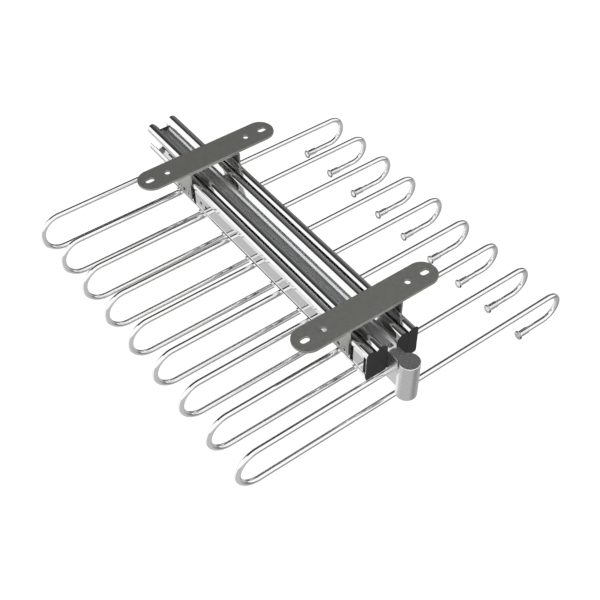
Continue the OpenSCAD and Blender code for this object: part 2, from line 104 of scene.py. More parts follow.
def bend(a: Array, b: Array, c: Array, radius: float, fine: float) -> Array:
    """The arc that rounds the corner b between a and c.

    Its middle lies at radius from both stretches, and its points turn by equal angles.

    Args:
        a: the point before the corner.
        b: the corner.
        c: the point after it.
        radius: the arc's radius; zero keeps the corner.
        fine: the largest turn between two points, in degrees.

    Returns:
        The arc's points.
    """
    if radius == 0:
        return b[None]
    d, e = unit(b - a), unit(c - b)
    angle = math.atan2(d[0] * e[1] - d[1] * e[0], d[0] * e[0] + d[1] * e[1])
    side = math.copysign(1.0, angle)
    middle = b - d * radius * math.tan(abs(angle) / 2) + left_of(d) * side * radius
    count = max(2, math.ceil(abs(math.degrees(angle)) / fine) + 1)
    turn = np.linspace(0.0, angle, count)[:, None]
    spoke = -left_of(d) * side * radius
    return middle + spoke * np.cos(turn) + left_of(spoke) * np.sin(turn)


def rounded(points: Loop, radii: list[float], closed: bool = False, fine: float = 6.0) -> Array:
    """A path with rounded corners.

    Args:
        points: the corners.
        radii: a radius for each corner, without the two ends of an open path.
        closed: whether the last point joins the first.
        fine: the largest turn between two points, in degrees.

    Returns:
        The path's points.
    """
    p = np.asarray(points, dtype=float)
    n = len(p)
    if closed:
        return np.concatenate([bend(p[i - 1], p[i], p[(i + 1) % n], radii[i], fine) for i in range(n)])
    inner = [bend(p[i - 1], p[i], p[i + 1], radii[i - 1], fine) for i in range(1, n - 1)]
    return np.concatenate([p[:1], *inner, p[-1:]])


def ring(diameter: float, across: float = 0.0, along: float = 0.0, count: int = 48) -> Array:
    """A circle: its middle plus its radius times the cosine and sine of equal angles."""
    turn = np.linspace(0.0, 2 * math.pi, count, endpoint=False)
    return np.stack([across + diameter / 2 * np.cos(turn), along + diameter / 2 * np.sin(turn)], axis=1)


def stadium(length: float, width: float, across: float = 0.0) -> Array:
    """The outline of a strip with half circles for ends.

    Args:
        length: the strip's length.
        width: the strip's width.
        across: how far its middle lies to the right.

    Returns:
        The outline's points.
    """
    x, y = length / 2, width / 2
    corners = [(across - x, -y), (across + x, -y), (across + x, y), (across - x, y)]
    return rounded(corners, [y * NEARLY_HALF] * 4, closed=True)


def sheet(path: Array, thickness: float) -> Array:
    """The closed outline of a bent sheet that lies to the left of a path."""
    return np.concatenate([path, beside(path, thickness)[::-1]])


def inside(points: Array, loop: Array) -> Array:
    """Tells which points lie in a loop: a ray to the right crosses its edges an odd number of times.

    Args:
        points: points of two numbers.
        loop: the loop's points.

    Returns:
        True for each point inside.
    """
    x, y = points[:, :1], points[:, 1:]
    x0, y0 = loop[:, 0], loop[:, 1]
    x1, y1 = np.roll(x0, -1), np.roll(y0, -1)
    spans = (y0 > y) != (y1 > y)
    rise = np.where(y1 == y0, 1.0, y1 - y0)
    return (np.sum(spans & (x < x0 + (y - y0) / rise * (x1 - x0)), axis=1) % 2) == 1


class Shell:
    """A mesh under construction, from whole grids and flat faces of points in millimetres."""

    def __init__(self) -> None:
        """Starts empty."""
        self.points: list[Array] = []
        self.faces: list[list[int]] = []
        self.count = 0

    def _keep(self, points: Array) -> int:
        """Adds points.

        Args:
            points: an array that ends in three numbers.

        Returns:
            The number of the first one.
        """
        first = self.count
        self.points.append(points.reshape(-1, 3))
        self.count += len(self.points[-1])
        return first

    def grid(self, points: Array, wrap: bool = True) -> None:
        """Adds four-sided faces between the rows of a grid.

        Args:
            points: an array of rows, columns and three numbers.
            wrap: whether the last column joins the first.
        """
        rows, columns = points.shape[:2]
        index = self._keep(points) + np.arange(rows * columns).reshape(rows, columns)
        near = index if wrap else index[:, :-1]
        far = np.roll(index, -1, axis=1) if wrap else index[:, 1:]
        faces = np.stack([near[:-1], far[:-1], far[1:], near[1:]], axis=-1).reshape(-1, 4)
        self.faces.extend(faces.tolist())

    def face(self, points: Array) -> None:
        """Adds one flat face."""
        first = self._keep(points)
        self.faces.append(list(range(first, first + len(points))))

    def run(self, loop: Array, start: float, end: float) -> None:
        """Carries a closed loop of X and Z straight along Y, with flat ends.

        Args:
            loop: the section.
            start: where it begins.
            end: where it ends.
        """
        rings = [np.insert(loop, 1, y, axis=1) for y in (start, end)]
        self.grid(np.stack(rings))
        for flat in rings:
            self.face(flat)

    def rod(self, path: Array, across: Array, radius: float, count: int = 48) -> None:
        """Carries a circle along a path in a plane.

        A point is the path's point plus radius times (cosine of its turn times the path's normal
        plus sine of its turn times across).

        Args:
            path: points of three numbers.
            across: the unit vector square to the path's plane.
            radius: the circle's radius.
            count: points round the circle.
        """
        way = unit(np.gradient(path, axis=0))
        normal = np.cross(across, way)
        turn = np.linspace(0.0, 2 * math.pi, count, endpoint=False)[None, :, None]
        points = path[:, None] + radius * (np.cos(turn) * normal[:, None] + np.sin(turn) * across)
        self.grid(points)
        self.face(points[0])
        self.face(points[-1])

    def spin(self, outline: Array, axis: int, middle: Array, count: int = 64) -> None:
        """Turns an outline round an axis.

        A point of the outline at height h and radius r goes to middle + h along the axis, and r
        times the cosine and sine of its turn along the other two axes.

        Args:
            outline: heights and radii, closed or ending at radius zero.
            axis: 0, 1 or 2 for X, Y or Z.
            middle: where height zero lies.
            count: steps in a full turn.
        """
        turn = np.linspace(0.0, 2 * math.pi, count, endpoint=False)
        points = np.empty((len(outline), count, 3))
        points[..., axis] = outline[:, :1]
        points[..., (axis + 1) % 3] = outline[:, 1:] * np.cos(turn)
        points[..., (axis + 2) % 3] = outline[:, 1:] * np.sin(turn)
        self.grid(points + middle)

    def slab(self, outline: Array, holes: list[Array], low: float, high: float, edge: float,
             axes: tuple[int, int, int], steps: int = 4) -> None:
        """A flat plate with rounded rims along its outline and its holes.

        At turn t from 0 to 90 degrees a rim's ring lies edge * (1 - sin t) inside the loop and
        edge * (1 - cos t) below the face. The faces fill what lies between the inmost rings.

        Args:
            outline: the outer loop, against the clock.
            holes: the holes' loops, against the clock.
            low: level of the one face.
            high: level of the other face.
            edge: radius of the rims.
            axes: the axes of the loops' first and second number, and of the levels.
            steps: steps in a rim.
        """
        turn = np.linspace(0.0, math.pi / 2, steps + 1)
        inset, drop = edge * (1 - np.sin(turn)), edge * (1 - np.cos(turn))
        levels = np.concatenate([high - drop, (low + drop)[::-1]])
        insets = np.concatenate([inset, inset[::-1]])
        loops = [outline] + [hole[::-1] for hole in holes]
        inmost = []
        for loop in loops:
            rings = np.stack([beside(loop, gap, closed=True) for gap in insets])
            inmost.append(rings[0])
            points = np.empty((*rings.shape[:2], 3))
            points[..., axes[0]], points[..., axes[1]] = rings[..., 0], rings[..., 1]
            points[..., axes[2]] = levels[:, None]
            self.grid(points)
        flat = np.concatenate(inmost)
        starts = np.cumsum([0] + [len(loop) for loop in inmost])
        edges = [(int(first) + k, int(first) + (k + 1) % len(loop))
                 for first, loop in zip(starts, inmost) for k in range(len(loop))]
        found, _, corners, *_ = delaunay_2d_cdt([Vector(p) for p in flat], edges, [], INSIDE_ONLY, CLOSE)
        spots, corners = np.array([tuple(p) for p in found]), np.array(corners)
        middles = spots[corners].mean(axis=1)
        keep = inside(middles, inmost[0])
        for loop in inmost[1:]:
            keep &= ~inside(middles, loop)
        for level in (low, high):
            points = np.empty((len(spots), 3))
            points[:, axes[0]], points[:, axes[1]], points[:, axes[2]] = spots[:, 0], spots[:, 1], level
            self.faces.extend((corners[keep] + self._keep(points)).tolist())

    def mesh(self, name: str) -> bpy.types.Mesh:
        """Makes the mesh in metres, its doubles merged and its faces outwards.

        Args:
            name: the mesh's name.

        Returns:
            The mesh.
        """
        made = bpy.data.meshes.new(name)
        made.from_pydata((np.concatenate(self.points) * MM).tolist(), [], self.faces)
        work = bmesh.new()
        work.from_mesh(made)
        bmesh.ops.remove_doubles(work, verts=work.verts, dist=MERGE)
        bmesh.ops.recalc_face_normals(work, faces=work.faces)
        work.to_mesh(made)
        work.free()
        return made


# Finishes


class Graph:
    """A node tree under construction, with short ways to add and join nodes."""

    def __init__(self, tree: bpy.types.NodeTree) -> None:
        """Empties the tree.

        Args:
            tree: the node tree of a material or a world.
        """
        self.tree = tree
        tree.nodes.clear()

    def add(self, kind: str, **values: object) -> bpy.types.Node:
        """Adds a node.

        Args:
            kind: the node's Blender type without the ShaderNode prefix.
            values: node properties, or sockets by name with spaces as underscores. A socket is
                set to a number or colour, or joined to another socket.

        Returns:
            The new node.
        """
        node = self.tree.nodes.new("ShaderNode" + kind)
        for name, value in values.items():
            if hasattr(node, name):
                setattr(node, name, value)
            else:
                self.feed(node.inputs[name.replace("_", " ")], value)
        return node

    def feed(self, slot: Socket, value: object) -> None:
        """Joins a slot to a socket, or sets it.

        Args:
            slot: the slot.
            value: a socket, a number, or a colour of four numbers.
        """
        if isinstance(value, Socket):
            self.tree.links.new(value, slot)
        else:
            slot.default_value = value

    def math(self, operation: str, *terms: object) -> Socket:
        """Adds a Math node.

        Args:
            operation: the name of the operation, such as MULTIPLY.
            terms: up to three numbers or sockets.

        Returns:
            The result socket.
        """
        node = self.tree.nodes.new("ShaderNodeMath")
        node.operation = operation
        for slot, term in zip(node.inputs, terms):
            self.feed(slot, term)
        return node.outputs[0]

    def ramp(self, value: Socket, low: float, high: float, to_low: float = 0.0,
             to_high: float = 1.0, smooth: bool = True) -> Socket:
        """Maps a value from one range to another, held at both ends.

        Args:
            value: the socket to map.
            low: input that gives to_low.
            high: input that gives to_high.
            to_low: output at low.
            to_high: output at high.
            smooth: whether the curve eases in and out.

        Returns:
            The mapped socket.
        """
        node = self.tree.nodes.new("ShaderNodeMapRange")
        node.interpolation_type = "SMOOTHSTEP" if smooth else "LINEAR"
        for slot, number in zip(node.inputs, (value, low, high, to_low, to_high)):
            self.feed(slot, number)
        return node.outputs["Result"]

    def mix(self, share: Socket, first: object, second: object) -> Socket:
        """Mixes two numbers: first plus share times (second minus first)."""
        return self.math("MULTIPLY_ADD", share, self.math("SUBTRACT", second, first), first)

    def blend(self, share: Socket, first: object, second: object) -> Socket:
        """Mixes two colours.

        Args:
            share: how much of the second colour shows.
            first: a colour or a socket.
            second: a colour or a socket.

        Returns:
            The mixed colour.
        """
        node = self.tree.nodes.new("ShaderNodeMix")
        node.data_type = "RGBA"
        self.feed(node.inputs[0], share)
        for slot, value in ((node.inputs[6], first), (node.inputs[7], second)):
            self.feed(slot, value if isinstance(value, Socket) else (*value, 1.0))
        return node.outputs[2]


def even(size: float) -> Triple:
    """Three equal numbers: a grey, or the same stretch along all axes."""
    return size, size, size


@dataclass(frozen=True)
class Grain:
    """A fine variation over a surface, read from Object coordinates in metres."""

    stretch: Triple = even(300.0)
    detail: float = 3.0
    tint: float = 0.06
    rough: float = 0.05
    lift: float = 0.0


@dataclass(frozen=True)
class Finish:
    """A finish: base colour and gloss, with grains on top and worn specks.

    Where deep is set, what lies nearer than that to the plane X = 0, in metres, takes a painted
    shade colour that stands in for the shade inside a narrow bore.
    """

    name: str
    colour: Colour
    roughness: float
    metallic: float = 0.0
    grains: tuple[Grain, ...] = (Grain(),)
    specks: float = 0.0
    speck_colour: Colour = even(0.5)
    speck_size: float = 1500.0
    clear: float = 0.0
    gloss: float = 0.5
    # deep and the two fields after it paint shade: a near-black colour near X = 0 stands in for the shade
    # inside a narrow bore.
    deep: float = 0.0
    bore_shade_edge: float = 0.2 * MM
    bore_shade_colour: Colour = even(0.01)
    speck_span: Span = (0.62, 0.70)

    def material(self) -> bpy.types.Material:
        """Builds the node material, once.

        Returns:
            The material, shared by every piece that asks for this finish.
        """
        found = bpy.data.materials.get(self.name)
        if found is not None:
            return found
        made = bpy.data.materials.new(self.name)
        made.use_nodes = True
        graph = Graph(made.node_tree)
        place = graph.add("TexCoord").outputs["Object"]
        sums: dict[str, object] = {"tint": 0.0, "rough": self.roughness, "lift": 0.0}
        for grain in self.grains:
            spot = graph.add("Mapping", Vector=place, Scale=grain.stretch).outputs[0]
            noise = graph.add("TexNoise", Vector=spot, Scale=1.0, Detail=grain.detail).outputs["Fac"]
            part = graph.ramp(noise, *NOISE, -1.0, 1.0, smooth=False)
            for key in sums:
                sums[key] = graph.math("MULTIPLY_ADD", part, getattr(grain, key), sums[key])
        total = sum(g.tint for g in self.grains)
        share = graph.ramp(sums["tint"], -total, total, smooth=False)
        base = graph.blend(share, tuple(c * (1.0 - total) for c in self.colour), self.colour)
        if self.specks:
            flecks = graph.add("TexNoise", Vector=place, Scale=self.speck_size, Detail=2.0).outputs["Fac"]
            worn = graph.ramp(flecks, *self.speck_span, 0.0, self.specks)
            base = graph.blend(worn, base, self.speck_colour)
        # Painted shade: near the plane X = 0 the base colour turns near-black, standing in for the shade
        # inside a bore.
        if self.deep:
            far = graph.math("ABSOLUTE", graph.add("SeparateXYZ", Vector=place).outputs[0])
            near = graph.ramp(far, self.deep - self.bore_shade_edge, self.deep, 1.0, 0.0)
            base = graph.blend(near, base, self.bore_shade_colour)
        shader = graph.add("BsdfPrincipled", Base_Color=base, Roughness=sums["rough"], Metallic=self.metallic,
                           Transmission_Weight=self.clear, Specular_IOR_Level=self.gloss)
        if any(g.lift for g in self.grains):
            bump = graph.add("Bump", Height=sums["lift"], Distance=1.0, Strength=1.0)
            graph.feed(shader.inputs["Normal"], bump.outputs[0])
        graph.add("OutputMaterial", Surface=shader.outputs[0])
        made.diffuse_color = (*self.colour, 1.0)
        return made


class Finishes(Enum):
    """The rack's finishes."""

    PLATE = Finish("plate_zinc", (0.36, 0.36, 0.335), 0.42, 0.8,
                   (Grain(even(260), 4.0, 0.10, 0.05, 4e-6), Grain(even(1800), 2.0, 0.06, 0.03, 2e-6)))
    BRACKET = Finish("bracket_zinc", (0.50, 0.50, 0.48), 0.40, 1.0,
                     (Grain(even(260), 4.0, 0.14, 0.06, 5e-6), Grain(even(1800), 2.0, 0.08, 0.04, 3e-6)))
    RAIL = Finish("drawn_chrome", (0.88, 0.88, 0.885), 0.06, 1.0, (Grain((900, 6, 900), 2.0, 0.03, 0.006),))
    LINK = Finish("link_steel", (0.70, 0.70, 0.71), 0.22, 1.0, (Grain((900, 8, 900), 2.0, 0.08, 0.05, 1e-6),))
    WIRE = Finish("polished_wire", (0.88, 0.88, 0.875), 0.05, 1.0, (Grain(even(120), 3.0, 0.02, 0.006),))
    BALL = Finish("bearing_steel", (0.80, 0.80, 0.81), 0.05, 1.0, (Grain(even(200), 2.0, 0.02, 0.01),))
    CAGE = Finish("cage_resin", (0.42, 0.41, 0.37), 0.45, 0.0, (Grain(even(700), 3.0, 0.10, 0.06, 3e-6),))
    BAR = Finish("anodised_bar", (0.84, 0.85, 0.86), 0.33, 1.0, (Grain((1200, 10, 1200), 2.0, 0.03, 0.01),))
    GRIP = Finish("satin_grip", even(0.80), 0.26, 1.0,
                  (Grain(even(350), 4.0, 0.03, 0.01), Grain(even(2500), 2.0, 0.03, 0.01, 1.5e-7)))
    BLACK = Finish("black_moulding", even(0.022), 0.52, 0.0, (Grain(even(900), 4.0, 0.20, 0.08, 6e-6),),
                   0.3, even(0.04), 1400.0, gloss=0.25)
    TIP = Finish("clear_sleeve", even(0.95), 0.03, 0.0, (Grain(even(500), 2.0, 0.03, 0.02),), clear=1.0)
    # deep paints shade on the rivets' bores and inner heads: everything within 32.7 mm of X = 0 turns
    # near-black.
    RIVET = Finish("rivet_steel", even(0.66), 0.25, 1.0,
                   (Grain(even(900), 3.0, 0.12, 0.08, 2e-6),), deep=0.0327)
    SCREW = Finish("blackened_screw", (0.16, 0.16, 0.17), 0.35, 1.0,
                   (Grain(even(900), 3.0, 0.15, 0.08, 2e-6),))


SLOT_FINISH = {
    "plate": Finishes.PLATE, "zinc": Finishes.BRACKET, "rivet": Finishes.RIVET, "screw": Finishes.SCREW,
    "rail_steel": Finishes.RAIL, "link_steel": Finishes.LINK, "cage": Finishes.CAGE,
    "ball_steel": Finishes.BALL, "bar": Finishes.BAR, "grip": Finishes.GRIP, "wire": Finishes.WIRE,
    "tip_plastic": Finishes.TIP, "black_plastic": Finishes.BLACK,
}


# Pieces


SLOTS = {part["node"]: part["material_slot"] for part in frame["record"]["subparts"]}
BODIES = {node: body for body, nodes in frame["record"]["behaviour"]["bodies"].items() for node in nodes}
SIDES = {"left": -1.0, "right": 1.0}
RAIL_MID = -32.5
PLATE_MID = {"front": -137.5, "rear": 137.5}


def piece(shell: Shell, name: str, node: str, cut: Shell | None = None, sharp: float = 30.0) -> None:
    """Puts a new piece in a CAD node's place, with the node's body, material slot and finish.

    Args:
        shell: the piece's mesh.
        name: the piece's name.
        node: the CAD node that it replaces.
        cut: what is cut from it.
        sharp: the least angle of an edge that stays sharp, in degrees.
    """
    made = bpy.data.objects.new(name, shell.mesh(name))
    bpy.context.scene.collection.objects.link(made)
    if cut is not None:
        tool = bpy.data.objects.new(name + "_cut", cut.mesh(name + "_cut"))
        bpy.context.scene.collection.objects.link(tool)
        holes = made.modifiers.new("holes", "BOOLEAN")
        holes.operation, holes.solver, holes.object = "DIFFERENCE", "EXACT", tool
        bpy.context.view_layer.update()
        whole = made.evaluated_get(bpy.context.evaluated_depsgraph_get())
        made.data = bpy.data.meshes.new_from_object(whole)
        made.modifiers.clear()
        bpy.data.objects.remove(tool)
    mesh = made.data
    mesh.polygons.foreach_set("use_smooth", np.ones(len(mesh.polygons), dtype=bool))
    mesh.set_sharp_from_angle(angle=math.radians(sharp))
    normals = made.modifiers.new("even_normals", "WEIGHTED_NORMAL")
    normals.keep_sharp = True
    slot = SLOTS[node]
    mesh.materials.clear()
    mesh.materials.append(SLOT_FINISH[slot].value.material())
    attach(made, BODIES[node])
    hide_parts(node)
    log.info("made %s", name)


def drill(cut: Shell, start: float, end: float, diameter: float, y: float, steps: int = 40) -> None:
    """Adds a cylinder along X at the height of the rails' middle.

    Args:
        cut: the mesh that gets it.
        start: X of its first end.
        end: X of its other end.
        diameter: its diameter.
        y: where it lies.
        steps: steps in a full turn.
    """
    tube = np.array([(start, 0.0), (start, diameter / 2), (end, diameter / 2), (end, 0.0)])
    cut.spin(tube, 0, np.array([0.0, y, RAIL_MID]), steps)


@dataclass(frozen=True)
class Plates:
    """The two plates that screw to the shelf."""

    length: float = 170.0
    width: float = 32.0
    thickness: float = 2.5
    slot_spacing: float = 144.0
    slot_length: float = 10.0
    slot_width: float = 6.0
    hole_spacing: float = 101.0
    hole: float = 6.0
    edge: float = 0.45

    def build(self) -> None:
        """Makes both plates: a strip with round ends, two slots and two holes."""
        for name, y in PLATE_MID.items():
            outline = stadium(self.length, self.width) + (0.0, y)
            holes = [stadium(self.slot_length, self.slot_width, s * self.slot_spacing / 2) + (0.0, y)
                     for s in (-1, 1)]
            holes += [ring(self.hole, s * self.hole_spacing / 2, y) for s in (-1, 1)]
            shell = Shell()
            shell.slab(outline, holes, -self.thickness, 0.0, self.edge, (0, 1, 2))
            piece(shell, f"plate_{name}", f"mount_plate_{name}")


@dataclass(frozen=True)
class Brackets:
    """The two folded brackets below the plates, and the hollow rivets in their legs."""

    top: float = -2.5
    leg_x: float = 32.5
    thickness: float = 2.0
    bend_radius: float = 3.5
    foot: float = RAIL_MID - 7.0
    length: float = 30.0
    corner: float = 4.0
    corner_points: int = 9
    hole: float = 4.2
    hole_pitch: float = 9.6
    drill_half: float = 40.0
    rivet_in: float = 29.2
    head: float = 6.6
    head_height: float = 0.5
    bore: float = 3.2
    lip: float = 0.25
    play: float = 0.05
    rivet_steps: int = 32

    def _strip(self) -> tuple[Array, Array]:
        """The bent sheet's section and its length.

        The half length shrinks towards the foot of a leg by corner - sqrt(corner^2 - (corner - d)^2),
        where d is the distance from the foot.

        Returns:
            The section's points, and half the bracket's length at each of them.
        """
        turn = np.linspace(0.0, math.pi / 2, self.corner_points)
        rise = self.corner * (1 - np.cos(turn))
        leg = [(-self.leg_x, self.foot + float(d)) for d in rise]
        corners = leg + [(-self.leg_x, self.top), (self.leg_x, self.top)] + [(-x, z) for x, z in leg[::-1]]
        radii = [0.0] * (len(rise) - 1) + [self.bend_radius] * 2 + [0.0] * (len(rise) - 1)
        path = rounded(corners, radii)[::-1]
        drop = np.clip(self.corner - (path[:, 1] - self.foot), 0.0, None)
        half = self.length / 2 - self.corner + np.sqrt(self.corner ** 2 - drop ** 2)
        return path, half

    def _bracket(self, y: float) -> Shell:
        """A closed sheet whose ends follow the leg's rounded corners.

        Args:
            y: the bracket's middle.

        Returns:
            The sheet's mesh.
        """
        path, half = self._strip()
        inner = beside(path, self.thickness)
        rows = []
        for line, side in ((path, -1), (path, 1), (inner, 1), (inner, -1)):
            rows.append(np.stack([line[:, 0], y + side * half, line[:, 1]], axis=1))
        points = np.stack(rows, axis=1)
        shell = Shell()
        shell.grid(points)
        shell.face(points[0])
        shell.face(points[-1])
        return shell

    def _holes(self, y: float) -> Shell:
        """Three holes through both legs.

        Args:
            y: the bracket's middle.

        Returns:
            What is cut from the bracket.
        """
        cut = Shell()
        for k in (-1, 0, 1):
            drill(cut, -self.drill_half, self.drill_half, self.hole, y + k * self.hole_pitch)
        return cut

    def _rivet(self, shell: Shell, side: float, y: float) -> None:
        """Adds a tube with a flat head outside and inside, its outer rims rounded.

        Args:
            shell: the mesh that gets it.
            side: -1 for the left leg and 1 for the right.
            y: where it lies.
        """
        out, low = self.leg_x + self.head_height, self.rivet_in - self.head_height
        r, b, d, lip = self.head / 2, self.bore / 2, self.hole / 2 - self.play, self.lip
        outline = rounded([(low, b), (out, b), (out, r), (self.leg_x, r), (self.leg_x, d),
                           (self.rivet_in, d), (self.rivet_in, r), (low, r)],
                          [0.0, lip, lip, 0.0, 0.0, 0.0, 0.0, lip], closed=True, fine=22.5)
        outline = np.concatenate([outline, outline[:1]])
        shell.spin(outline * (side, 1.0), 0, np.array([0.0, y, RAIL_MID]), self.rivet_steps)

    def build(self) -> None:
        """Makes the brackets and their rivets."""
        rivets = Shell()
        for name, y in PLATE_MID.items():
            piece(self._bracket(y), f"folded_bracket_{name}", f"bracket_{name}", self._holes(y))
            for side in SIDES.values():
                for k in (-1, 1):
                    self._rivet(rivets, side, y + k * self.hole_pitch)
        piece(rivets, "hollow_rivets", "leg_rivets")


@dataclass(frozen=True)
class RailSection:
    """The section of a rail: its slot at u = 0, its back at u = depth, v up from the middle.

    A rail with a bead has its lower race pressed out by that much below the flat back.
    """

    depth: float
    flat: float
    height: float = 35.0
    thickness: float = 1.3
    mouth: float = 15.4
    bulge: float = 1.2
    curl: float = 2.2
    lip_radius: float = 1.4
    crown_radius: float = 5.2
    facet: float = 50.0
    facet_radius: float = 1.6
    race_radius: float = 3.9
    race_u: float = 4.4
    soft: float = 1.6
    bead: float = 0.0
    bead_edge: float = 0.05

    def lean(self) -> float:
        """The angle of the line that touches the race's circle and ends at the flat back's edge."""
        across, down = self.depth - self.race_u, (self.height - self.flat) / 2 - self.race_radius
        return math.acos(self.race_radius / math.hypot(across, down)) - math.atan2(down, across)

    def outline(self, fine: float = 5.0) -> Array:
        """The closed section: the outer path and, one thickness inside it, the inner one.

        The crown's arc ends where its normal is as steep as the facet's. The facet's line meets the
        top at crown_radius * (1 - tan((90 - facet) / 2)) from the lip's side.

        Args:
            fine: the largest turn between two points, in degrees.

        Returns:
            The section's points.
        """
        h, m = self.height / 2, self.mouth / 2
        reach = self.crown_radius * (1 - math.tan(math.radians(90 - self.facet) / 2))
        fall = reach / math.tan(math.radians(self.facet))
        corner = self.race_u + self.race_radius * math.tan(math.pi / 4 - self.lean() / 2)
        half = [(0.0, m), (-self.bulge, m + self.curl), (-self.bulge, h - fall), (reach - self.bulge, h),
                (corner, h), (self.depth, self.flat / 2)]
        radii = [self.lip_radius, self.facet_radius, self.crown_radius, self.race_radius, self.soft]
        path = rounded(half + [(u, -v) for u, v in half[::-1]], radii + radii[::-1], fine=fine)
        inner = beside(path, -self.thickness)[::-1]
        if self.bead:
            out, edge = self.bead, self.bead_edge
            foot = [(self.depth, -self.flat / 2), (self.depth + out, -self.flat / 2 - out / 4),
                    (corner + out, -h)] + [(u, -v) for u, v in half[3::-1]]
            path = rounded(half + foot, radii + [edge, edge] + radii[3::-1], fine=fine)
        return np.concatenate([path, inner])


@dataclass(frozen=True)
class Rails:
    """The two C rails of each side: a fixed one below the brackets and a moving one on the bar.

    A window is its front end and its length.
    """

    fixed: RailSection = RailSection(depth=8.6, flat=18.2, bead=1.0)
    moving: RailSection = RailSection(depth=11.3, flat=22.8, soft=4.0)
    fixed_lip: float = 21.9
    moving_lip: float = 17.3
    fixed_ends: Span = (-176.8, 165.2)
    moving_ends: Span = (-177.1, 236.9)
    hole: float = 4.2
    hole_pitch: float = 9.6
    free_holes: tuple[float, ...] = (106.5, 96.9)
    drill_half: float = 4.0
    windows: tuple[Span, ...] = ((-157.5, 5.0), (117.5, 5.0), (-176.1, 3.6))
    window_low: float = -41.5
    window_high: float = -20.5
    window_depth: float = 4.2
    window_out: float = 2.0

    def _fixed_holes(self, side: float) -> Shell:
        """The holes in a fixed rail's web: three at each bracket, two more, and the windows.

        Args:
            side: -1 for the left rail and 1 for the right.

        Returns:
            What is cut from the rail.
        """
        cut = Shell()
        back = self.fixed_lip + self.fixed.depth
        spots = [y + k * self.hole_pitch for y in PLATE_MID.values() for k in (-1, 0, 1)]
        spots += self.free_holes
        for y in spots:
            drill(cut, side * (back - self.drill_half), side * (back + self.drill_half), self.hole, y)
        low_x, high_x = back - self.window_depth, back + self.window_out
        x = np.array([low_x, high_x, high_x, low_x]) * side
        z = np.array([self.window_low, self.window_low, self.window_high, self.window_high])
        for low, length in self.windows:
            cut.run(np.stack([x, z], axis=1), low, low + length)
        return cut

    def build(self) -> None:
        """Makes the four rails by carrying their sections from front to back."""
        for name, side in SIDES.items():
            shell = Shell()
            loop = self.fixed.outline() * (side, 1.0) + (side * self.fixed_lip, RAIL_MID)
            shell.run(loop, *self.fixed_ends)
            piece(shell, f"fixed_c_rail_{name}", f"fixed_rail_{name}", self._fixed_holes(side))
            shell = Shell()
            loop = self.moving.outline() * (-side, 1.0) + (side * self.moving_lip, RAIL_MID)
            shell.run(loop, *self.moving_ends)
            piece(shell, f"moving_c_rail_{name}", f"moving_rail_{name}")


@dataclass(frozen=True)
class CoverHalf:
    """The sizes in which the two halves of a cover differ.

    The first corner of far is its far side's, and the second is where its top begins, with crest
    for radius. The plug behind it starts at plug_x and reaches plug_half up and down.
    """

    seam: float
    far: tuple[Span, ...]
    crest: float
    plug_x: float
    plug_half: float


@dataclass(frozen=True)
class EndCovers:
    """The black covers at the front ends of the rails, split along a seam on each side."""

    front: float = -178.1
    thickness: float = 1.0
    top: float = 19.1
    foot: float = -17.9
    dip: float = 16.0
    dip_length: float = 4.0
    dip_radius: float = 3.0
    foot_radius: float = 2.5
    side_radius: float = 2.0
    plug: Span = (4.5, 4.0)
    edge: float = 0.3
    outer: CoverHalf = CoverHalf(18.7, ((31.1, 13.6), (30.5, 19.1)), 3.9, 20.9, 5.5)
    inner: CoverHalf = CoverHalf(18.6, ((6.1, 14.05), (10.34, 19.1)), 5.5, 7.3, 8.8)

    def _half(self, side: float, half: CoverHalf) -> Shell:
        """A thin plate with rounded rims, and the plug behind it.

        Args:
            side: -1 for the left side and 1 for the right.
            half: the sizes of this half.

        Returns:
            The half cover's mesh.
        """
        seam, back = half.seam, half.far[0][0]
        d = math.copysign(1.0, back - seam)
        corners = [(seam, self.foot), (back, self.foot), *half.far, (seam + d * self.dip_length, self.top),
                   (seam, self.dip)]
        path = rounded(corners, [self.foot_radius, self.side_radius, half.crest, self.dip_radius], fine=7.5)
        loop = path * (side, 1.0) + (0.0, RAIL_MID)
        if side * d < 0:
            loop = loop[::-1]
        shell = Shell()
        shell.slab(loop, [], self.front, self.front + self.thickness, self.edge, (0, 2, 1), 3)
        x = np.array([half.plug_x, half.plug_x + self.plug[0]]) * side
        z = RAIL_MID + np.array([-half.plug_half, half.plug_half])
        box = np.array([(x[0], z[0]), (x[1], z[0]), (x[1], z[1]), (x[0], z[1])])
        shell.run(box, self.front + self.thickness, self.front + self.thickness + self.plug[1])
        return shell

    def build(self) -> None:
        """Makes the four halves."""
        for name, side in SIDES.items():
            piece(self._half(side, self.outer), f"outer_cover_{name}", f"end_cover_{name}_outer")
            piece(self._half(side, self.inner), f"inner_cover_{name}", f"end_cover_{name}_inner")


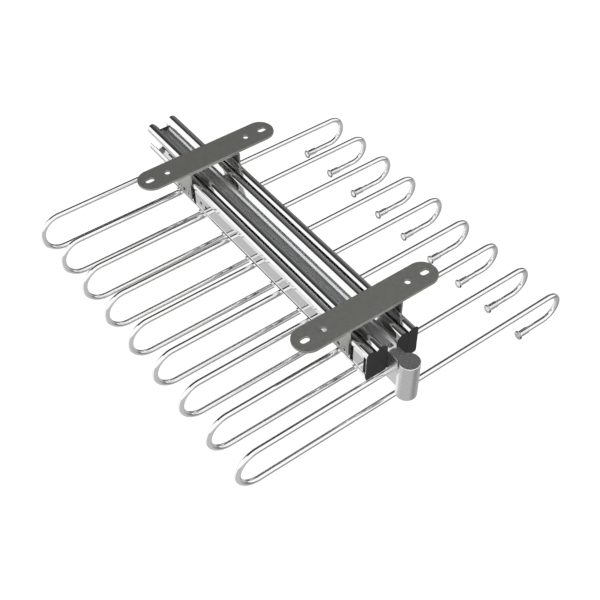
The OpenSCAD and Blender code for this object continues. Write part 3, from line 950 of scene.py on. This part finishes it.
@dataclass(frozen=True)
class BarSection:
    """The bar's outline: a dished top between two rims, and a chamfered foot."""

    width: float = 12.0
    top: float = -20.9
    foot: float = -61.7
    rim: float = 1.5
    slope: float = 52.0
    outer_radius: float = 0.4
    inner_radius: float = 2.0
    edge: float = 0.6
    slack: float = 0.02

    def outline(self) -> Array:
        """The closed outline.

        The dish is an arc that touches two lines of the given slope. The lines start where the
        rims end and meet at depth h tan(slope), h being half the dish's width. The arc's radius is
        (h / cos(slope) - r tan(slope / 2)) / tan(slope), which leaves room for the rims' radius r.

        Returns:
            The outline's points.
        """
        w, h, r, out = self.width / 2, self.width / 2 - self.rim, self.inner_radius, self.outer_radius
        slope = math.radians(self.slope)
        dish = (h / math.cos(slope) - r * math.tan(slope / 2) - self.slack) / math.tan(slope)
        right = [(h, self.top), (w, self.top), (w, self.top - 2 * r)]
        left = [(-x, z) for x, z in right[::-1]]
        corners = [*left, (0.0, self.top - h * math.tan(slope)), *right]
        crest = rounded(corners, [out, r, dish, r, out], fine=7.0)[1:-1]
        return np.concatenate([crest, self.base()])

    def base(self) -> Array:
        """The four corners of the foot, from right to left."""
        w, e = self.width / 2, self.edge
        return np.array([(w, self.foot + e), (w - e, self.foot), (e - w, self.foot), (-w, self.foot + e)])

    def filled(self) -> Array:
        """The outline with a flat top, level with the rims."""
        return np.concatenate([[(-self.width / 2, self.top), (self.width / 2, self.top)], self.base()])


@dataclass(frozen=True)
class Bar:
    """The bar that carries the arms, and its plug."""

    section: BarSection = BarSection()
    front: float = -172.6
    back: float = 228.1
    cap: float = 2.0

    def build(self) -> None:
        """Makes the bar and the black plug at its back end."""
        shell = Shell()
        shell.run(self.section.outline(), self.front, self.back)
        piece(shell, "dished_bar", "carrier_bar")
        shell = Shell()
        shell.run(self.section.filled(), self.back, self.back + self.cap)
        piece(shell, "bar_cap", "bar_end_plug")


@dataclass(frozen=True)
class Handle:
    """A block flush with the bar, a fin that is a little lower, and an upright grip."""

    section: BarSection = BarSection()
    block: Span = (-177.1, -172.6)
    fin_top: float = -24.7
    fin_soft: float = 0.5
    grip_y: float = -201.7
    grip_diameter: float = 21.4
    grip_low: float = -67.2
    grip_height: float = 47.0
    grip_edge: float = 0.8
    grip_steps: int = 96

    def build(self) -> None:
        """Makes the handle."""
        shell = Shell()
        shell.run(self.section.outline(), *self.block)
        w = self.section.width / 2
        corners = [*self.section.base()[::-1], (w, self.fin_top), (-w, self.fin_top)]
        fin = rounded(corners, [0.0] * 4 + [self.fin_soft] * 2, closed=True, fine=15.0)
        shell.run(fin, self.grip_y, self.block[0])
        r, h = self.grip_diameter / 2, self.grip_height
        outline = rounded([(0.0, 0.0), (0.0, r), (h, r), (h, 0.0)], [self.grip_edge] * 2, fine=12.0)
        shell.spin(outline, 2, np.array([0.0, self.grip_y, self.grip_low]), self.grip_steps)
        piece(shell, "grip_handle", "handle")


@dataclass(frozen=True)
class Arms:
    """The nine bent wires and the clear sleeves on their open ends."""

    count: int = 9
    front: float = -178.4
    pitch: float = 48.0
    wire: float = 6.0
    start: float = 6.0
    upper: float = -55.0
    loop: float = 22.5
    bend_points: int = 57
    left: float = -155.5
    hook: float = 18.0
    right: float = 223.0
    hook_length: float = 35.5
    sleeve: float = 7.6
    sleeve_length: float = 14.5
    sleeve_play: float = 0.05
    sleeve_soft: float = 0.3
    sleeve_steps: int = 56
    head: float = 10.4
    head_height: float = 2.2
    head_soft: float = 0.8
    end_play: float = 0.1

    def _route(self) -> Array:
        """The wire's middle: in to the left, round the loop, right, and back in the hook.

        Both bends are half circles: radius times the sine and cosine of equal angles.

        Returns:
            X and Z of its points.
        """
        turn = np.linspace(0.0, math.pi, self.bend_points)
        circle = np.stack([np.sin(turn), np.cos(turn)], axis=1)
        long = self.upper - 2 * self.loop
        loop = circle * (-self.loop, self.loop) + (self.left, self.upper - self.loop)
        hook = circle * self.hook + (self.right, long - self.hook)
        ends = np.array([(self.start, self.upper), (self.right - self.hook_length, long - 2 * self.hook)])
        return np.concatenate([ends[:1], loop, hook, ends[1:]])

    def _sleeve(self, y: float) -> Shell:
        """A tube with a thick round head, turned round the wire's end.

        Args:
            y: where the arm lies.

        Returns:
            The sleeve's mesh.
        """
        r, head, bore = self.sleeve / 2, self.head / 2, self.wire / 2 + self.sleeve_play
        t, length, end = self.head_height, self.sleeve_length, self.head_height - self.end_play
        corners = [(0.0, 0.0), (0.0, head), (t, head), (t, r), (length, r), (length, bore), (end, bore),
                   (end, 0.0)]
        outline = rounded(corners, [self.head_soft] * 2 + [self.sleeve_soft] * 2 + [0.0] * 2, fine=15.0)
        shell = Shell()
        low = self.upper - 2 * self.loop - 2 * self.hook
        shell.spin(outline, 0, np.array([self.right - self.hook_length - t, y, low]), self.sleeve_steps)
        return shell

    def build(self) -> None:
        """Makes the arms and sleeves, from the back to the front."""
        route = self._route()
        for i in range(1, self.count + 1):
            y = self.front + (self.count - i) * self.pitch
            shell = Shell()
            shell.rod(np.insert(route, 1, y, axis=1), np.array([0.0, 1.0, 0.0]), self.wire / 2)
            piece(shell, f"bent_wire_{i}", f"arm_{i}")
            piece(self._sleeve(y), f"clear_sleeve_{i}", f"tip_{i}")


@dataclass(frozen=True)
class Links:
    """The two ball channels of each side, back to back between the rails."""

    middle: float = 19.6
    reach: float = 8.4
    neck: float = 4.1
    race: float = 11.0
    mouth: float = 7.2
    thickness: float = 1.3
    bend_radius: float = 1.6
    crease: float = 0.3
    outer_ends: Span = (-177.1, 153.2)
    inner_ends: Span = (-172.8, 153.2)

    def build(self) -> None:
        """Makes the four channels by carrying their section from front to back."""
        half = [(self.reach, self.race), (self.neck, self.race), (self.neck, self.mouth), (0.0, self.mouth)]
        radii = [self.bend_radius, self.crease, self.bend_radius]
        path = rounded(half + [(u, -v) for u, v in half[::-1]], radii + radii[::-1], fine=10.0)
        loop = sheet(path, self.thickness)
        for name, side in SIDES.items():
            for part, out, ends in (("outer", 1.0, self.outer_ends), ("inner", -1.0, self.inner_ends)):
                shell = Shell()
                shell.run(loop * (side * out, 1.0) + (side * self.middle, RAIL_MID), *ends)
                piece(shell, f"ball_channel_{name}_{part}", f"link_channel_{name}_{part}")


def dress_nodes() -> None:
    """Gives every CAD node the finish of its material slot."""
    for name, obj in frame["nodes"].items():
        obj.data.materials.clear()
        obj.data.materials.append(SLOT_FINISH[SLOTS[name]].value.material())
    log.info("dressed %d nodes", len(SLOTS))


# Surroundings


@dataclass(frozen=True)
class Studio:
    """A pale floor far below the rack and a soft surround with one darker side.

    The spans on the floor are in metres along X, or along Y for depth. Those of the surround are
    parts of the unit vector that points there.
    """

    floor_z: float = -0.62
    floor_half: float = 12.0
    floor_lift: float = 0.1
    bright: float = 1.12
    fill: float = 1.0
    side_grey: float = 0.57
    front_grey: float = 0.24
    rear_grey: float = 0.08
    left_far: Span = (-0.60, -0.50)
    left_near: Span = (-0.44, -0.40)
    left_share: float = 0.55
    left_depth: Span = (-0.1, 0.1)
    below_left: Span = (-0.31, -0.27)
    below_right: Span = (0.12, 0.25)
    below_depth: Span = (0.05, 0.2)
    front_side: Span = (-0.1, 0.25)
    front_depth: Span = (-0.9, 0.0)
    corner_side: Span = (0.1, 0.4)
    corner_depth: Span = (0.2, 0.7)
    shade: Triple = (0.04, 0.12, 0.16)
    deep: float = 0.02
    tilt: float = 0.62
    rear_start: float = 0.62
    rear_tilt: float = 1.5
    back_tilt: float = -0.18
    soft: Span = (-0.05, 0.05)
    above: Span = (-0.1, 0.0)
    deep_rear: Span = (0.70, 0.78)
    deep_front: Span = (0.38, 0.46)

    def build(self) -> None:
        """Makes the floor and the world."""
        self._floor()
        self._world()
        log.info("studio built")

    def _floor(self) -> None:
        """A square plane, white to the camera, with the rack's shadow.

        In reflections it is grey, and bright to the left of the rack and below it.
        """
        half = self.floor_half
        mesh = bpy.data.meshes.new("floor")
        corners = [(-half, -half), (half, -half), (half, half), (-half, half)]
        mesh.from_pydata([(x, y, self.floor_z) for x, y in corners], [], [(0, 1, 2, 3)])
        obj = bpy.data.objects.new("floor", mesh)
        bpy.context.scene.collection.objects.link(obj)
        made = bpy.data.materials.new("pale_floor")
        made.use_nodes = True
        graph = Graph(made.node_tree)
        matt = graph.add("BsdfDiffuse", Color=WHITE)
        lift = graph.add("Emission", Color=WHITE, Strength=self.floor_lift)
        seen = graph.add("AddShader")
        graph.feed(seen.inputs[0], matt.outputs[0])
        graph.feed(seen.inputs[1], lift.outputs[0])
        axes = graph.add("SeparateXYZ", Vector=graph.add("TexCoord").outputs["Object"])
        x, y = axes.outputs[0], axes.outputs[1]
        edge = graph.ramp(x, *self.left_near, self.left_share, 0.0)
        side = graph.math("MAXIMUM", graph.ramp(x, *self.left_far, 1.0, 0.0), edge)
        left = graph.math("MULTIPLY", side, graph.ramp(y, *self.left_depth))
        under = graph.ramp(x, *self.below_left)
        near = graph.math("MULTIPLY", under, graph.ramp(x, *self.below_right, 1.0, 0.0))
        rear = graph.math("MULTIPLY", near, graph.ramp(y, *self.below_depth))
        lit = graph.math("MAXIMUM", left, rear)
        east = graph.ramp(x, *self.front_side)
        front = graph.math("MULTIPLY", east, graph.ramp(y, *self.front_depth, 1.0, 0.0))
        right = graph.math("MULTIPLY_ADD", front, self.front_grey - self.side_grey, self.side_grey)
        corner = graph.ramp(x, *self.corner_side)
        far = graph.math("MULTIPLY", corner, graph.ramp(y, *self.corner_depth))
        dim = graph.mix(far, right, self.rear_grey)
        tone = graph.mix(lit, dim, self.bright)
        mirrored = graph.add("Emission", Color=WHITE, Strength=tone)
        mixed = graph.add("MixShader", Fac=graph.add("LightPath").outputs["Is Glossy Ray"])
        graph.feed(mixed.inputs[1], seen.outputs[0])
        graph.feed(mixed.inputs[2], mirrored.outputs[0])
        graph.add("OutputMaterial", Surface=mixed.outputs[0])
        mesh.materials.append(made)

    def _world(self) -> None:
        """A surround that is white to the camera and even to matt surfaces.

        In reflections its upper right side is dark: where east + tilt * up, which is steeper at the
        back, and north + back_tilt * up are both above zero.
        """
        world = bpy.data.worlds.new("studio")
        bpy.context.scene.world = world
        world.use_nodes = True
        graph = Graph(world.node_tree)
        axes = graph.add("SeparateXYZ", Vector=graph.add("TexCoord").outputs["Generated"])
        east, north, up = (axes.outputs[k] for k in range(3))
        beyond = graph.math("MAXIMUM", graph.math("SUBTRACT", north, self.rear_start), 0.0)
        rear = graph.math("MULTIPLY", beyond, self.rear_tilt)
        tilt = graph.math("ADD", graph.math("MULTIPLY_ADD", up, self.tilt, east), rear)
        over = graph.ramp(tilt, *self.soft)
        back = graph.ramp(graph.math("MULTIPLY_ADD", up, self.back_tilt, north), *self.soft)
        high = graph.ramp(up, *self.above)
        share = graph.math("MULTIPLY", graph.math("MULTIPLY", over, back), high)
        base, rise, curve = self.shade
        reach = graph.math("MAXIMUM", east, 0.0)
        slope = graph.math("MULTIPLY_ADD", reach, curve, rise)
        shade = graph.math("MULTIPLY_ADD", reach, slope, base)
        ends = graph.ramp(north, *self.deep_rear)
        depth = graph.math("MAXIMUM", ends, graph.ramp(north, *self.deep_front, 1.0, 0.0))
        shade = graph.mix(depth, shade, self.deep)
        level = graph.mix(share, self.bright, shade)
        strength = graph.mix(graph.add("LightPath").outputs["Is Glossy Ray"], self.fill, level)
        sky = graph.add("Background", Color=WHITE, Strength=strength)
        graph.add("OutputWorld", Surface=sky.outputs[0])


@dataclass(frozen=True)
class Viewpoint:
    """The camera, where the photograph was taken from."""

    place: Triple = (-0.4244, -0.6129, 0.7004)
    turn: float = -36.136
    height: float = 47.5415
    roll: float = -0.3728
    lens: float = 60.5
    sensor: float = 36.0
    clip: Span = (0.01, 50.0)

    def build(self) -> None:
        """Makes the camera.

        Its back axis comes from turn and height, then roll turns it about that axis.
        """
        a, e, t = (math.radians(v) for v in (self.turn, self.height, self.roll))
        back = Vector((math.sin(a) * math.cos(e), -math.cos(a) * math.cos(e), math.sin(e)))
        right = Vector((0, 0, 1)).cross(back).normalized()
        up = back.cross(right)
        across = right * math.cos(t) + up * math.sin(t)
        over = up * math.cos(t) - right * math.sin(t)
        data = bpy.data.cameras.new("camera")
        data.lens, data.sensor_width = self.lens, self.sensor
        data.clip_start, data.clip_end = self.clip
        obj = bpy.data.objects.new("camera", data)
        obj.matrix_world = Matrix((
            (across.x, over.x, back.x, self.place[0]),
            (across.y, over.y, back.y, self.place[1]),
            (across.z, over.z, back.z, self.place[2]),
            (0.0, 0.0, 0.0, 1.0),
        ))
        bpy.context.scene.collection.objects.link(obj)
        bpy.context.scene.camera = obj
        log.info("camera placed")


def main() -> None:
    """Builds the scene in order."""
    logging.basicConfig(level=logging.INFO)
    bpy.context.scene.view_settings.view_transform = "Standard"
    Viewpoint().build()
    Studio().build()
    dress_nodes()
    for part in (Plates(), Brackets(), Rails(), Links(), EndCovers(), Bar(), Handle(), Arms()):
        part.build()


if __name__ == "__main__":
    main()
